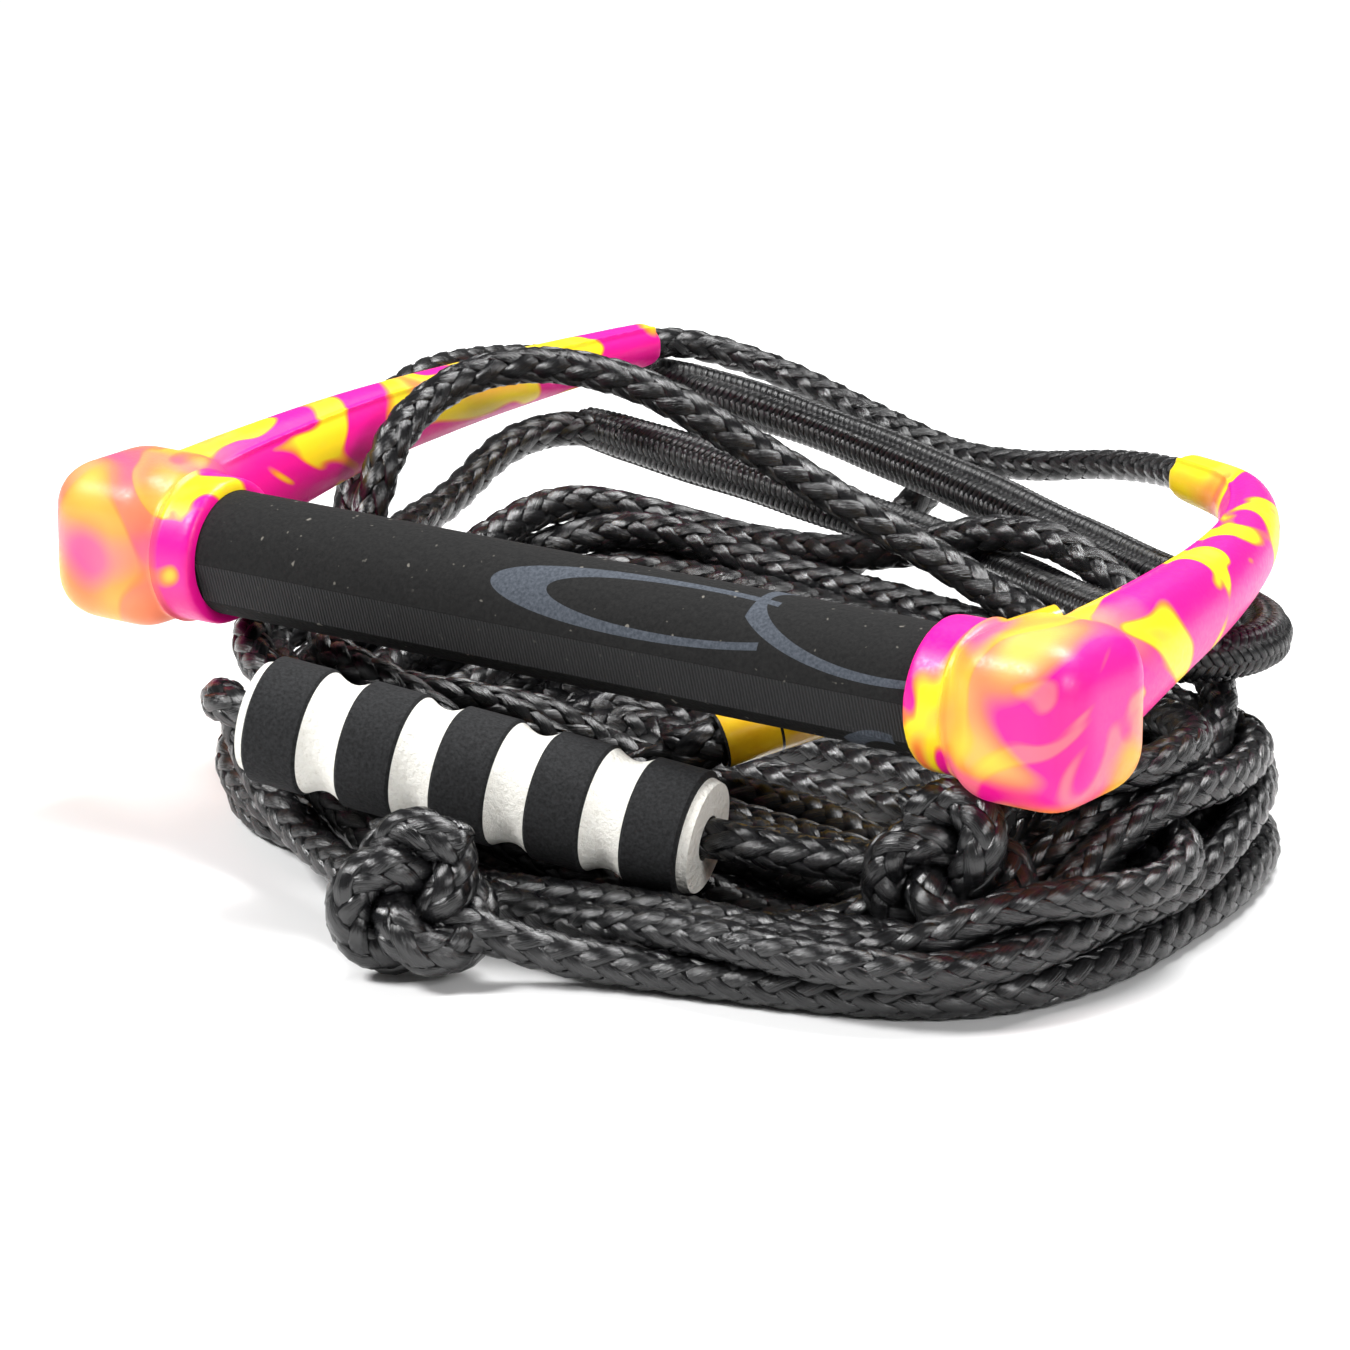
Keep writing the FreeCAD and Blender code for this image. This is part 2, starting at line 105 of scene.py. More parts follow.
FLOAT_LINE = [KNOT_TWO, FLOAT_A + FLOAT_DIR * .026, FLOAT_A - FLOAT_DIR * .052,
              FLOAT_B - FLOAT_DIR * .009, (-.073, -.036, .0405),
              (-.078, -.024, .035), (-.075, -.024, .024),
              (-.056, -.035, .015), (-.027, -.051, .012), KNOT_ONE]
SPLICE = [(.006, .027, .024), (.014, .036, .027), (.038, .066, .036),
          (.0662, .1036, .0464)]
END_LOOP = [(.0662, .1036, .0464), (.0775, .1005, .0425), (.0910, .0950, .0390),
            (.1070, .0850, .0385), (.1210, .0700, .0385), (.1280, .0520, .0370),
            (.1260, .0350, .0350), (.1130, .0270, .0345), (.1010, .0380, .0360),
            (.0910, .0570, .0390), (.0790, .0770, .0430), (.0660, .0900, .0440),
            (.0560, .0906, .0425)]

# The coil seen from above, its outer edge from the middle of the front round
# by the right; and where each turn lies across the band at the front, right,
# back and left: (in from the edge, height), millimetres.
COIL_EDGE = [(24, -42), (60, -46), (92, -45), (117, -34), (130, -14), (135, 12),
             (135, 42), (132, 74), (122, 105), (100, 128), (66, 145), (28, 153),
             (-12, 156), (-52, 157), (-86, 154), (-107, 138), (-114, 106),
             (-113, 70), (-111, 36), (-106, 4), (-92, -20), (-64, -35), (-24, -41)]
CORNERS = {"front": 0, "right": 7, "back": 12, "left": 18}   # points of the edge
HUB_FROM, HUB_TO, HUB_Y = -20, 40, 62              # the stretch that turns shrink towards
LOWER = [dict(front=(5, 5), right=(5, 5), back=(5, 5), left=(5, 5)),
         dict(front=(17, 5), right=(15, 5), back=(15, 5), left=(15, 5)),
         dict(front=(29, 5), right=(25, 5), back=(26, 5), left=(25, 5)),
         dict(front=(41, 5), right=(5, 15), back=(5, 15), left=(5, 15)),
         dict(front=(53, 5), right=(15, 15), back=(15, 15), left=(15, 15)),
         dict(front=(66, 6), right=(36, 6), back=(40, 6), left=(36, 6)),
         dict(front=(80, 6), right=(50, 8), back=(56, 6), left=(50, 7)),
         dict(front=(88, 6), right=(66, 8), back=(76, 8), left=(63, 8))]
UPPER = [dict(left=(6, 44)),
         dict(front=(24, 14), right=(5, 34), back=(30, 44), left=(10, 42)),
         dict(front=(37, 14), right=(15, 34), back=(7, 43), left=(17, 44)),
         dict(front=(48, 15), right=(25, 27), back=(17, 42), left=(8, 35)),
         dict(front=(72, 14), right=(36, 22), back=(29, 39), left=(27, 35)),
         dict(front=(84, 16), right=(46, 17), back=(41, 31), left=(37, 25)),
         dict(front=(60, 18), right=(16, 25), back=(8, 33), left=(18, 27)),
         dict(front=(6, 13), right=(5, 25), back=(22, 30), left=(6, 24)),
         dict(front=(6, 13), right=(8, 17))]


def smooth(t):
    t = min(1.0, max(0.0, t))
    return t * t * (3 - 2 * t)


def turn_point(turns, turn, step):
    """A point on a turn of the coil; a turn that climbs rises before it moves in."""
    names = [*CORNERS, "front"]
    spots = [*CORNERS.values(), len(COIL_EDGE)]
    corner = max(i for i in range(4) if spots[i] <= step)
    share = (step - spots[corner]) / (spots[corner + 1] - spots[corner])
    this = turns[turn].get(names[corner])
    after = turns[min(turn + (corner == 3), len(turns) - 1)].get(names[corner + 1])
    this, after = this or after, after or this
    rise = after[1] - this[1]
    waits = .42 if corner == 0 else 0              # from the front it climbs late, past the knot
    if rise > 0:
        climbed = smooth((share - waits) / (.64 - .2 * waits))
        moved = smooth((share - .2) / .8)
    else:
        climbed = smooth((share - .5) / .5)
        moved = smooth(share / .8)
    inset = this[0] + (after[0] - this[0]) * moved
    height = this[1] + rise * climbed
    edge = np.array(COIL_EDGE[step], float)
    out = edge - (min(HUB_TO, max(HUB_FROM, edge[0])), HUB_Y)
    out /= np.linalg.norm(out)
    sway = 1.7 * math.sin(2.3 * turn + .83 * step) + 1.2 * math.sin(4.1 * turn + 1.9 * step + 1)
    x, y = edge - out * (inset + sway * (.6 if height > 6 else 1))
    return (x / 1000, y / 1000, height / 1000)


def turns_between(turns, first, last):
    """Points of the coil from (turn, step) to (turn, step)."""
    n = len(COIL_EDGE)
    return [turn_point(turns, k // n, k % n)
            for k in range(first[0] * n + first[1], last[0] * n + last[1])]


# From the shock section down on to the coil, round it, up over the arm's side
# in one sprung bight, and round again to the second knot.
OFF_SHOCK = [(-.112, .1845, .047), (-.130, .1865, .048), (-.1375, .176, .0485),
             (-.139, .158, .047), (-.1375, .136, .0455), (-.133, .112, .0450),
             (-.124, .084, .0445)]
FIRST_ROUND = turns_between(UPPER, (0, 18), (1, 9))
INTO_KNOT_TWO = [(.1220, -.0160, .0150), (.1325, .0020, .0180), (.1365, .0220, .0220),
                 (.1330, .0400, .0270), (.1210, .0480, .0300), (.1090, .0400, .0310),
                 (.1040, .0230, .0300), (.1045, .0080, .0280), (.1060, -.0020, .0265)]
UPPER_LINE = (OFF_SHOCK + FIRST_ROUND + [(.072, .108, .0365)] + TOP_LOOP[::-1]
              + [(-.1055, .026, .041)] + turns_between(UPPER, (1, 19), (8, 4)) + INTO_KNOT_TWO)
# From the first knot round the bottom of the coil and up into the splice.
OUT_OF_KNOT_ONE = [(.012, -.069, .0150), (.026, -.064, .0100), (.044, -.052, .0065)]
UP_TO_SPLICE = [(-.047, .038, .0080), (-.036, .024, .0080), (-.019, .012, .0110),
                (-.003, .015, .0180), *SPLICE[:2], (.020, .0435, .0293)]
LOWER_LINE = OUT_OF_KNOT_ONE + turns_between(LOWER, (0, 2), (7, 19)) + UP_TO_SPLICE


def knotted(middle, along, flat, ways=(-1, 1), big=.0098, small=.0050, tail=.010):
    """An overhand knot: along is the way its line runs, flat its thin direction.

    big and small are the knot's two radii; ways, to which face each end lifts.
    """
    along, flat = Vector(along).normalized(), Vector(flat).normalized()
    side = flat.cross(along).normalized()
    flat = along.cross(side).normalized()
    points = []
    count = 34
    for i in range(count + 1):
        t = 2 * math.pi * i / count
        ring = big + small * math.cos(3 * t)
        part = max(0, 1 - min(i, count - i) / 5)
        lift = ways[0] * part if i < count / 2 else ways[1] * part
        points.append(Vector(middle) + side * ring * math.cos(2 * t) + along * ring * math.sin(2 * t)
                      + flat * (small * 1.05 * math.sin(3 * t) + .0048 * lift))
    first = points[0] - along * tail - side * .004
    last = points[-1] + along * tail - side * .004
    return [first] + points + [last]


# ------------------------------------------------------------------ settling
def spline_weights(count, per=6):
    """How a smooth open line of order 3 through count control points weighs each of them."""
    spans = count - 2
    knots = np.concatenate([[0] * 3, np.arange(1, spans), [spans] * 3]).astype(float)
    u = np.linspace(0, spans - 1e-9, spans * per)
    basis = np.zeros((len(u), count + 2))
    basis[np.arange(len(u)), np.floor(u).astype(int) + 2] = 1
    for order in (1, 2):
        new = np.zeros_like(basis)
        for i in range(count + 2 - order):
            before = knots[i + order] - knots[i]
            after = knots[i + order + 1] - knots[i + 1]
            if before > 0:
                new[:, i] += (u - knots[i]) / before * basis[:, i]
            if after > 0:
                new[:, i] += (knots[i + order + 1] - u) / after * basis[:, i + 1]
        basis = new
    return basis[:, :count]


def run(points):
    """How far along a line each of its points lies."""
    return np.concatenate([[0], np.cumsum(np.linalg.norm(np.diff(points, axis=0), axis=1))])


def apart(points, others, reach, counted=True):
    """The push that takes each point out of the others within reach, and how many are."""
    squared = (points ** 2).sum(1)[:, None] + (others ** 2).sum(1)[None] - 2 * points @ others.T
    dist = np.sqrt(np.maximum(squared, 1e-12))
    near = (dist < reach) & counted
    share = np.where(near, (reach - dist) / dist, 0)
    return points * share.sum(1)[:, None] - share @ others, near.sum(1)[:, None]


ROUNDS, LAST_ROUNDS = 60, 12                       # nothing sinks in the last rounds
SINK = .00010                                      # each round, until something is in the way
OWN_STRETCH = .035                                 # a line doesn't push its own next stretch
SNUG, FLOOR_GAP = .985, 1.02                       # shares of the rope's size


def settle(lines, held, fixed):
    """Moves the lines' control points until no turn lies in another or in a fixed rope.

    lines: lists of points; held: for each, which points stay; fixed: (points, radius).
    """
    r = LINE / 2
    weights = [spline_weights(len(line)) for line in lines]
    ctrl = [np.array([tuple(p) for p in line], float) for line in lines]
    start = [c.copy() for c in ctrl]
    free = [np.array([not h(i, len(c)) for i in range(len(c))], float)[:, None]
            for h, c in zip(held, ctrl)]
    fixed_points = np.concatenate([p for p, _ in fixed])
    fixed_radii = np.concatenate([np.full(len(p), q) for p, q in fixed])
    for k in range(ROUNDS):
        dense = [w @ c for w, c in zip(weights, ctrl)]
        every = np.concatenate(dense)
        # each line counts from 9 m further on, so other lines' points are all elsewhere
        along = np.concatenate([run(d) + 9 * i for i, d in enumerate(dense)])
        elsewhere = np.abs(along[:, None] - along[None]) > OWN_STRETCH
        push, near = apart(every, every, 2 * r * SNUG, elsewhere)
        push *= .5 / np.maximum(1, near * .6)
        away, near = apart(every, fixed_points, r + fixed_radii[None])
        push += away / np.maximum(1, near * .8)
        if k < ROUNDS - LAST_ROUNDS:
            push[:, 2] -= SINK
        push[:, 2] = np.maximum(push[:, 2], r * FLOOR_GAP - every[:, 2])
        at = 0
        for i, w in enumerate(weights):
            part = push[at:at + len(w)]
            at += len(w)
            step = (w.T @ part) / (w.sum(0)[:, None] + 1e-9) * 1.5
            ctrl[i] += step * free[i]
            ctrl[i][:, :2] += (start[i] - ctrl[i])[:, :2] * .02 * free[i]
            ctrl[i][:, 2] = np.maximum(ctrl[i][:, 2], r * FLOOR_GAP)
    return [[tuple(p) for p in c] for c in ctrl]


def sampled(points, per=6):
    """Points along the smooth line that has these control points."""
    return spline_weights(len(points), per) @ np.array([tuple(p) for p in points], float)


# the float's way, its slide included
float_way = np.array([FLOAT_B + FLOAT_DIR * (.122 * i / 24 - .002) for i in range(25)])
fixed_ropes = [(sampled(SHOCK), SHOCK_LINE / 2), (sampled(FLOAT_LINE, 14), LINE / 2),
               (sampled(SPLICE, 12)[3:], SPLICE_LINE / 2), (float_way, FLOAT_RADIUS),
               (sampled(BRIDLE_LEAD), LINE / 2), (sampled(SHOCK_LEAD)[:-12], LINE / 2),
               (np.array([KNOT_ONE, KNOT_TWO]), .0150)]
bight = len(OFF_SHOCK) + len(FIRST_ROUND) + 1      # where the sprung bight starts
UPPER_LINE, LOWER_LINE, END_LOOP = settle(
    [UPPER_LINE, LOWER_LINE, END_LOOP],
    [lambda i, n: i < 4 or bight <= i < bight + 11 or i > n - 3,
     lambda i, n: i < 2 or i > n - 5,
     lambda i, n: i < 1 or i > n - 3],
    fixed_ropes)


# ------------------------------------------------------------------ ropes
def route_curve(name, points, thick=0):
    """A smooth open line with the given control points, from the floor under the bar."""
    curve = bpy.data.curves.new(name, "CURVE")
    curve.dimensions = "3D"
    spline = curve.splines.new("NURBS")
    spline.points.add(len(points) - 1)
    for knot, p in zip(spline.points, points):
        knot.co = (*(Vector(p) + BELOW_BAR), 1)
    spline.order_u = 3
    spline.use_endpoint_u = True
    spline.resolution_u = 8
    curve.bevel_depth = thick / 2
    curve.bevel_resolution = 2
    curve.use_fill_caps = thick > 0
    line = bpy.data.objects.new(name, curve)
    bpy.context.collection.objects.link(line)
    return line


def followed(line):
    """The points that a mesh along a route follows."""
    bare = line.data.copy()
    bare.bevel_depth = 0
    holder = bpy.data.objects.new("bare", bare)
    mesh = bpy.data.meshes.new_from_object(holder)
    points = np.array([v.co[:] for v in mesh.vertices])
    bpy.data.meshes.remove(mesh)
    bpy.data.objects.remove(holder)
    bpy.data.curves.remove(bare)
    return points


class Path:
    """A line measured by its length, with axes that turn as little as they can."""

    def __init__(self, points, step=.0008):
        away = np.linalg.norm(np.diff(points, axis=0), axis=1)
        points = points[np.concatenate([[True], away > 1e-7])]
        along = run(points)
        self.length = along[-1]
        self.s = np.linspace(0, self.length, max(8, int(self.length / step)))
        self.p = np.stack([np.interp(self.s, along, points[:, i]) for i in range(3)], 1)
        t = np.gradient(self.p, self.s, axis=0)
        for _ in range(3):
            t[1:-1] = (t[:-2] + t[1:-1] * 2 + t[2:]) / 4
        self.t = t / np.linalg.norm(t, axis=1)[:, None]
        first = np.cross(self.t[0], (0, 0, 1.0))
        if np.linalg.norm(first) < .1:
            first = np.cross(self.t[0], (1.0, 0, 0))
        n = np.empty_like(self.p)
        n[0] = first / np.linalg.norm(first)
        for i in range(1, len(n)):
            v = n[i - 1] - self.t[i] * np.dot(n[i - 1], self.t[i])
            n[i] = v / np.linalg.norm(v)
        self.n, self.b = n, np.cross(self.t, n)

    def around(self, s, angle, radius):
        """Points at length s along, at an angle round the line, radius from it."""
        c, a, b = (np.stack([np.interp(s, self.s, m[:, i]) for i in range(3)], -1)
                   for m in (self.p, self.n, self.b))
        return c + (a * np.cos(angle)[..., None] + b * np.sin(angle)[..., None]) * radius[..., None]


def mesh_object(name, vertices, faces, uv=None):
    """A smooth mesh; uv, one row for each vertex, becomes the map named strand."""
    mesh = bpy.data.meshes.new(name)
    mesh.from_pydata(vertices.tolist(), [], faces)
    if uv is not None:
        layer = mesh.uv_layers.new(name="strand")
        corners = np.empty(len(mesh.loops), dtype=np.int32)
        mesh.loops.foreach_get("vertex_index", corners)
        layer.data.foreach_set("uv", uv[corners].astype(np.float32).ravel())
    mesh.polygons.foreach_set("use_smooth", [True] * len(mesh.polygons))
    made = bpy.data.objects.new(name, mesh)
    bpy.context.collection.objects.link(made)
    return made


# A strand's outline: across its width (-1..1) and through its thickness.
STRAND = ((-1, -.15), (-.62, .72), (0, 1.0), (.62, .72), (1, -.15), (0, -.75))


def braid(name, path, diameter, lead, each_way=6, thick=.15, per_cross=1.7,
          start=0.0, end=None, slack=0.0, neck=0.0):
    """Hollow braid: each_way strands wound each way, two over and two under.

    lead: length of a full turn; thick: a strand's half thickness over the radius;
    slack: how much the line swells and thins; neck: its width at its two ends.
    """
    end = path.length if end is None else end
    crossing = lead / (2 * each_way)
    count = max(4, int((end - start) / crossing * per_cross))
    s = np.linspace(start, end, count)
    radius = diameter / 2
    t = radius * thick
    lift = t * .85
    middle = radius - t - lift
    width = math.pi * diameter * .88 / each_way
    steep = math.atan2(math.pi * 2 * middle, lead)
    half = width * math.cos(steep) / 2 * 1.08
    grow = 1 + slack * (np.sin(s * 61 + 1) + np.sin(s * 143 + 2.4)) / 2
    if neck:
        ends = np.minimum(s, path.length - s) / .014
        grow = grow * (neck + (1 - neck) * np.clip(ends, 0, 1) ** .5)
    vertices, faces, uvs = [], [], []
    k = len(STRAND)
    for way in (1, -1):
        for i in range(each_way):
            m = s / crossing
            phase = m + 2 * i - .5 if way > 0 else m - 2 * i + 2.5
            wave = np.cos(np.pi * phase / 2)
            wave = wave * 1.25 / np.sqrt(wave ** 2 + .5625)
            turn = way * 2 * np.pi * s / lead + 2 * np.pi * i / each_way
            base = len(vertices) * count * k
            ring = []
            for across, through in STRAND:
                ds = -across * half * math.sin(steep) * way
                da = across * half * math.cos(steep) / middle
                r = (middle + lift * wave + through * t) * grow
                ring.append(path.around(np.clip(s + ds, 0, path.length), turn + da, r))
            vertices.append(np.stack(ring, 1).reshape(-1, 3))
            edge = np.array([a for a, _ in STRAND]) * .5 + .5
            across_uv = np.tile(edge + i * 3 + (way > 0) * 20, count)
            uvs.append(np.stack([across_uv, np.repeat(s / .01, k)], 1))
            for row in range(count - 1):
                a, b = base + row * k, base + (row + 1) * k
                for q in range(k):
                    w = (q + 1) % k
                    faces.append((a + q, a + w, b + w, b + q))
            faces.append(tuple(base + q for q in reversed(range(k))))
            last = base + (count - 1) * k
            faces.append(tuple(last + q for q in range(k)))
    return mesh_object(name, np.concatenate(vertices), faces, np.concatenate(uvs))


# ------------------------------------------------------------------ finishes
def material(name, color, roughness, **sockets):
    """A material, its node tree and its shader; further sockets are set by name."""
    made = bpy.data.materials.new(name)
    made.use_nodes = True
    shader = made.node_tree.nodes["Principled BSDF"]
    shader.inputs["Base Color"].default_value = (*color, 1)
    shader.inputs["Roughness"].default_value = roughness
    for socket, value in sockets.items():
        shader.inputs[socket.replace("_", " ")].default_value = value
    return made, made.node_tree, shader


def add(tree, kind, inputs=(), **settings):
    """A node with its inputs set or linked, by name or by number."""
    made = tree.nodes.new("ShaderNode" + kind)
    for key, value in settings.items():
        setattr(made, key, value)
    for key, value in dict(inputs).items():
        if isinstance(value, bpy.types.NodeSocket):
            tree.links.new(value, made.inputs[key])
        else:
            made.inputs[key].default_value = value
    return made


def calc(tree, operation, a, b=0.0, c=0.0):
    return add(tree, "Math", {0: a, 1: b, 2: c}, operation=operation).outputs[0]


def ramp(tree, factor, *stops):
    """Colours along a factor: stops are (place, colour)."""
    made = add(tree, "ValToRGB", {"Fac": factor})
    points = made.color_ramp.elements
    while len(points) < len(stops):
        points.new(.5)
    for point, (place, color) in zip(points, stops):
        point.position, point.color = place, (*color, 1) if len(color) == 3 else color
    return made.outputs["Color"]


def noise(tree, where, scale, detail=2.0, rough=.5, twist=0.0):
    return add(tree, "TexNoise", {"Vector": where, "Scale": scale, "Detail": detail,
                                  "Roughness": rough, "Distortion": twist}).outputs["Fac"]


def bump(tree, height, strength, distance, under=None):
    ins = {"Height": height, "Strength": strength, "Distance": distance}
    if under is not None:
        ins["Normal"] = under
    return add(tree, "Bump", ins).outputs["Normal"]


def blend_color(tree, factor, a, b):
    made = tree.nodes.new("ShaderNodeMix")
    made.data_type = "RGBA"
    for slot, value in ((0, factor), (6, a), (7, b)):
        if isinstance(value, bpy.types.NodeSocket):
            tree.links.new(value, made.inputs[slot])
        else:
            made.inputs[slot].default_value = value if slot == 0 else (*value, 1)
    return made.outputs[2]


def mapped(tree, where, **settings):
    """Coordinates moved, turned or stretched."""
    return add(tree, "Mapping", {"Vector": where, **settings}).outputs["Vector"]


def fibres(name, dark, light, roughness):
    """Glossy filaments that run along each strand."""
    made, tree, shader = material(name, dark, roughness, Specular_IOR_Level=.65, Anisotropic=.6)
    uv = add(tree, "UVMap", uv_map="strand").outputs["UV"]
    fine = noise(tree, mapped(tree, uv, Scale=(8.0, .35, 1)), 1.7, 4, .62)
    loose = noise(tree, mapped(tree, uv, Scale=(.8, .5, 1)), 1.3, 2)
    tree.links.new(ramp(tree, fine, (.38, dark), (.68, light)), shader.inputs["Base Color"])
    worn = ramp(tree, loose, (.3, (roughness - .09,) * 3), (.7, (roughness + .12,) * 3))
    tree.links.new(worn, shader.inputs["Roughness"])
    tree.links.new(bump(tree, fine, .65, .0004), shader.inputs["Normal"])
    tangent = add(tree, "Tangent", direction_type="UV_MAP", uv_map="strand").outputs["Tangent"]
    tree.links.new(tangent, shader.inputs["Tangent"])
    return made


ROPE = fibres("braided_line", (.0004, .0004, .0005), (.012, .0122, .0135), .20)
SHEATH = fibres("bunched_sheath", (.0004, .0004, .0005), (.008, .0081, .0092), .26)
ROPE_CORE, _, _ = material("line_core", (.002, .002, .002), .8)

MAGENTA, DEEP_MAGENTA, PALE_MAGENTA = (.89, .003, .28), (.80, .0, .30), (.90, .01, .27)
ORANGE, AMBER, YELLOW = (.96, .21, .035), (.98, .50, .045), (.98, .70, .012)


def marble(name, side):
    """Moulded urethane: magenta and yellow run into each other through orange."""
    made, tree, shader = material(name, (.9, .01, .3), .38, Specular_IOR_Level=.4,
                                  Subsurface_Weight=.06, Subsurface_Radius=(.004, .0015, .001))
    where = add(tree, "TexCoord").outputs["Object"]
    placed = mapped(tree, where, Location=(.31 * side, .17, .05), Rotation=(.2, .5 * side, -.35 * side),
                    Scale=(1.0, .72, .8))
    swirl = add(tree, "TexNoise", {"Vector": placed, "Scale": 17.0, "Detail": 1.0}).outputs["Color"]
    pushed = add(tree, "VectorMath", {0: swirl, 1: (.055,) * 3}, operation="MULTIPLY").outputs[0]
    pulled = add(tree, "VectorMath", {0: placed, 1: pushed}, operation="ADD").outputs[0]
    flow = noise(tree, pulled, 41.0, 1.2, .45, 1.0)
    base = ramp(tree, flow, (.0, DEEP_MAGENTA), (.43, MAGENTA), (.485, MAGENTA), (.505, ORANGE),
                (.53, YELLOW), (.60, YELLOW), (.66, AMBER), (.72, ORANGE), (.80, MAGENTA))
    # towards the outer half of each block the colours have mixed to orange
    x, y, _ = add(tree, "SeparateXYZ", {0: where}).outputs
    outwards = calc(tree, "MULTIPLY", x, float(side))
    outer = add(tree, "MapRange", {0: outwards, 1: .1060, 2: .1085}).outputs[0]
    front = add(tree, "MapRange", {0: y, 1: BAR.y + .034, 2: BAR.y + .004}).outputs[0]
    mixed = calc(tree, "MULTIPLY", calc(tree, "MULTIPLY", outer, front), .80)
    cloud = noise(tree, mapped(tree, where, Location=(.0, .013 * side, .021)), 30.0, 1.0, .4, .4)
    if side < 0:
        soft = ramp(tree, cloud, (.30, MAGENTA), (.40, (.97, .20, .06)), (.54, (.98, .42, .07)),
                    (.66, (.99, .66, .09)))
    else:
        soft = ramp(tree, cloud, (.38, PALE_MAGENTA), (.50, MAGENTA), (.555, (.97, .24, .05)),
                    (.63, (.98, .52, .05)), (.70, (.98, .68, .03)))
    tree.links.new(blend_color(tree, mixed, base, soft), shader.inputs["Base Color"])
    grain = noise(tree, where, 900.0, 2)
    orange_peel = noise(tree, where, 160.0, 2)
    tree.links.new(ramp(tree, grain, (.3, (.33,) * 3), (.7, (.45,) * 3)), shader.inputs["Roughness"])
    under = bump(tree, orange_peel, .08, .0004)
    tree.links.new(bump(tree, grain, .10, .00015, under), shader.inputs["Normal"])
    return made


def foam(name, dark, light, speck, grain, depth):
    """Closed-cell foam: fine pores and, where speck is a colour, a few pale specks."""
    made, tree, shader = material(name, dark, .85, Specular_IOR_Level=.25)
    where = add(tree, "TexCoord").outputs["Object"]
    pores = noise(tree, where, grain, 3, .6)
    cells = add(tree, "TexVoronoi", {"Vector": where, "Scale": grain * .55}).outputs["Distance"]
    color = ramp(tree, pores, (.32, dark), (.70, light))
    if speck:
        dust = add(tree, "MapRange", {0: noise(tree, where, 520.0, 1, .3), 1: .735, 2: .80}).outputs[0]
        color = blend_color(tree, dust, color, speck)
    tree.links.new(color, shader.inputs["Base Color"])
    height = calc(tree, "MULTIPLY_ADD", cells, .6, pores)
    tree.links.new(bump(tree, height, depth, .0004), shader.inputs["Normal"])
    return made, tree, shader, where, color, height


def core_foam():
    """Coarse white foam with a lumpy skin."""
    made, tree, shader, where, _, height = foam("core_foam", (.70, .68, .62), (.88, .865, .81), None,
                                                700.0, .5)
    lumps = noise(tree, where, 620.0, 4, .7)
    skin = bump(tree, lumps, .9, .0011, bump(tree, height, .35, .0004))
    tree.links.new(skin, shader.inputs["Normal"])
    color = ramp(tree, lumps, (.24, (.66, .64, .57)), (.40, (.82, .80, .74)), (.75, (.88, .87, .82)))
    tree.links.new(color, shader.inputs["Base Color"])
    return made


def inlay(tree, x, around, middle_x, middle_up, reach, rise, turn, width, first, last):
    """Part of a drawn oval on the unrolled grip, thickest at one end."""
    def do(operation, a, b=0.0, c=0.0):
        return calc(tree, operation, a, b, c)

    u, v = do("SUBTRACT", x, middle_x), do("SUBTRACT", around, middle_up)
    cos, sin = math.cos(turn), math.sin(turn)
    a = do("DIVIDE", do("ADD", do("MULTIPLY", u, cos), do("MULTIPLY", v, sin)), reach)
    b = do("DIVIDE", do("SUBTRACT", do("MULTIPLY", v, cos), do("MULTIPLY", u, sin)), rise)
    far = do("SQRT", do("ADD", do("MULTIPLY", a, a), do("MULTIPLY", b, b)))
    slim = do("MULTIPLY_ADD", a, -width * .45, width)
    band = do("LESS_THAN", do("ABSOLUTE", do("SUBTRACT", far, 1.0)), slim)
    part = do("MULTIPLY", do("GREATER_THAN", x, first), do("LESS_THAN", x, last))
    return do("MULTIPLY", band, part)


GRIP_RADIUS, FLAT_TURNED, FLAT_HALF = .0145, math.radians(198), .0050
RIB = .00085                                       # from one rib of the flat to the next


